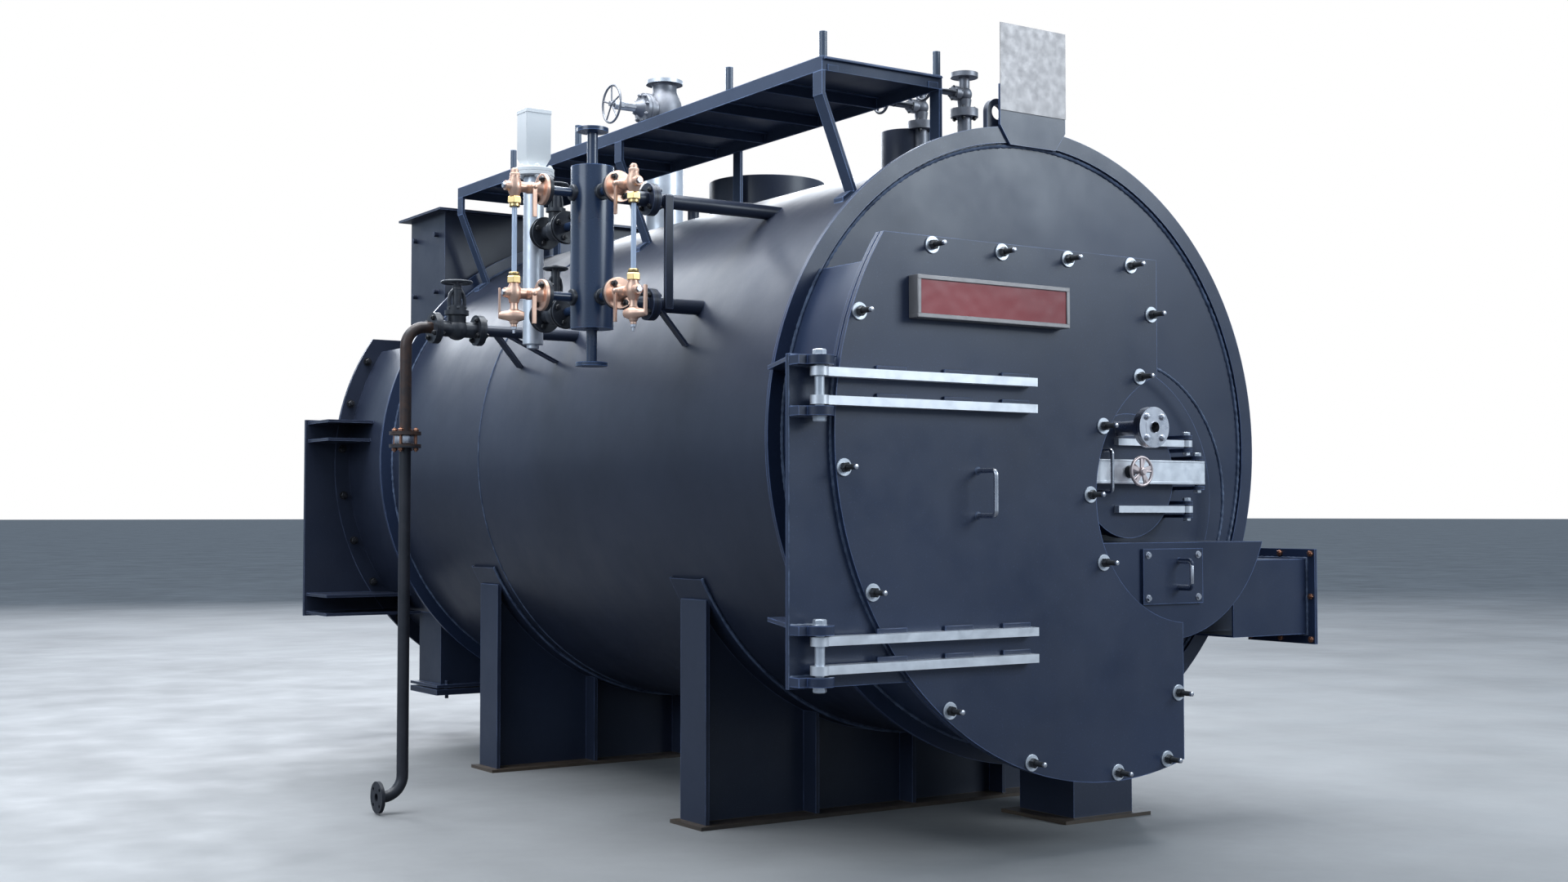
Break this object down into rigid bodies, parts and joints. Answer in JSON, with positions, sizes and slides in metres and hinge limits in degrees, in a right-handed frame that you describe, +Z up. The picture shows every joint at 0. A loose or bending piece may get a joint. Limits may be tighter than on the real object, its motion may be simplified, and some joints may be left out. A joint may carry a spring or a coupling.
{
  "type": "industrial steam boiler",
  "caption": "Horizontal fire-tube boiler on saddles, with a cut-out smokebox door, a clamped fire door, level gauges, valves and a top walkway.",
  "frame": {"origin": "floor level under the middle of the front saddle, on the shell's centre plane", "axes": "+Z up, the front with the doors faces -Y, +X to the right seen from the front"},
  "size_m": [2.663, 4.008, 2.896],
  "materials": {
    "dark": "satin dark blue-black paint",
    "silver": "dull silver",
    "cast": "dark painted casting",
    "brass": "dull",
    "glass": "clear",
    "grey": "light grey enamel",
    "rusty": "primed, with rust",
    "sheet": "plain sheet"
  },
  "bodies": {
    "boiler": {"air_duct": "dark", "ash_box": "dark", "ash_door": "dark", "board_bracket": "dark", "end_rings": "dark", "feed_inlet_pipe": "dark", "feed_pipe": "rusty", "feed_valve": "cast", "fire_door_hinges": "dark", "flue_outlet": "dark", "front_foot": "dark", "front_smokebox": "dark", "furnace_mouth": "dark", "furnace_tube": "dark", "gauge_cocks": "brass", "gauge_glasses": "glass", "handrail_sockets": "silver", "hinge_plate": "dark", "isolating_valves": "cast", "level_controller": "grey", "level_pipes": "dark", "lifting_lug": "dark", "name_board": "sheet", "rear_door": "dark", "rear_foot": "dark", "rear_hinge_plate": "dark", "rear_smokebox": "dark", "saddles": "dark", "shell": "dark", "steam_nozzle": "silver", "steam_valve": "silver", "top_necks": "dark", "top_valves": "cast", "tube_plates": "dark", "walkway_deck": "dark", "walkway_frame": "dark", "walkway_legs": "dark", "water_column": "dark"},
    "smokebox_door": {"smokebox_door": "dark", "door_bolts": "silver", "door_straps": "silver", "door_handle": "silver", "name_block": "dark"},
    "fire_door": {"fire_door": "dark", "fire_door_straps": "dark", "fire_door_handle": "silver", "burner_nozzle": "silver"},
    "clamp_bar": {"clamp_bar": "silver"},
    "clamp_handwheel": {"clamp_handwheel": "silver"},
    "steam_valve_wheel": {"steam_valve_wheel": "cast"},
    "feed_valve_wheel": {"feed_valve_wheel": "cast"},
    "isolator_wheel_1": {"isolator_wheel_1": "cast"},
    "isolator_wheel_2": {"isolator_wheel_2": "cast"},
    "top_valve_wheel_1": {"top_valve_wheel_1": "cast"},
    "top_valve_wheel_2": {"top_valve_wheel_2": "cast"}
  },
  "joints": [
    {"name": "smokebox_door_hinge", "type": "hinge", "parent": "boiler", "child": "smokebox_door", "pos_m": [-1.107, -1.092, 1.366], "axis": [0, 0, -1], "range_deg": [0, 110]},
    {"name": "fire_door_hinge", "type": "hinge", "parent": "boiler", "child": "fire_door", "pos_m": [0.552, -0.848, 1.142], "axis": [0, 0, 1], "range_deg": [0, 100]},
    {"name": "clamp_bar_hinge", "type": "hinge", "parent": "boiler", "child": "clamp_bar", "pos_m": [0.585, -0.865, 1.154], "axis": [0, 0, 1], "range_deg": [0, 100]},
    {"name": "clamp_screw", "type": "hinge", "parent": "clamp_bar", "child": "clamp_handwheel", "pos_m": [0.262, -0.932, 1.154], "axis": [0, 1, 0], "continuous": true},
    {"name": "steam_valve_spindle", "type": "hinge", "parent": "boiler", "child": "steam_valve_wheel", "pos_m": [-0.259, 1.67, 2.766], "axis": [-1, 0, 0], "continuous": true},
    {"name": "feed_valve_spindle", "type": "hinge", "parent": "boiler", "child": "feed_valve_wheel", "pos_m": [-1.345, 0.79, 1.83], "axis": [0, 0, 1], "continuous": true},
    {"name": "upper_isolator_spindle", "type": "hinge", "parent": "boiler", "child": "isolator_wheel_1", "pos_m": [-1.26, 0.194, 2.093], "axis": [0, 0, 1], "continuous": true},
    {"name": "lower_isolator_spindle", "type": "hinge", "parent": "boiler", "child": "isolator_wheel_2", "pos_m": [-1.26, 0.194, 1.818], "axis": [0, 0, 1], "continuous": true},
    {"name": "front_top_valve_spindle", "type": "hinge", "parent": "boiler", "child": "top_valve_wheel_1", "pos_m": [-0.175, -0.369, 2.4452], "axis": [-1, 0, 0], "continuous": true},
    {"name": "second_top_valve_spindle", "type": "hinge", "parent": "boiler", "child": "top_valve_wheel_2", "pos_m": [-0.175, -0.131, 2.4452], "axis": [-1, 0, 0], "continuous": true}
  ],
  "couplings": [
    {"joint": "clamp_bar_hinge", "follows": "fire_door_hinge", "ratio": 1}
  ]
}
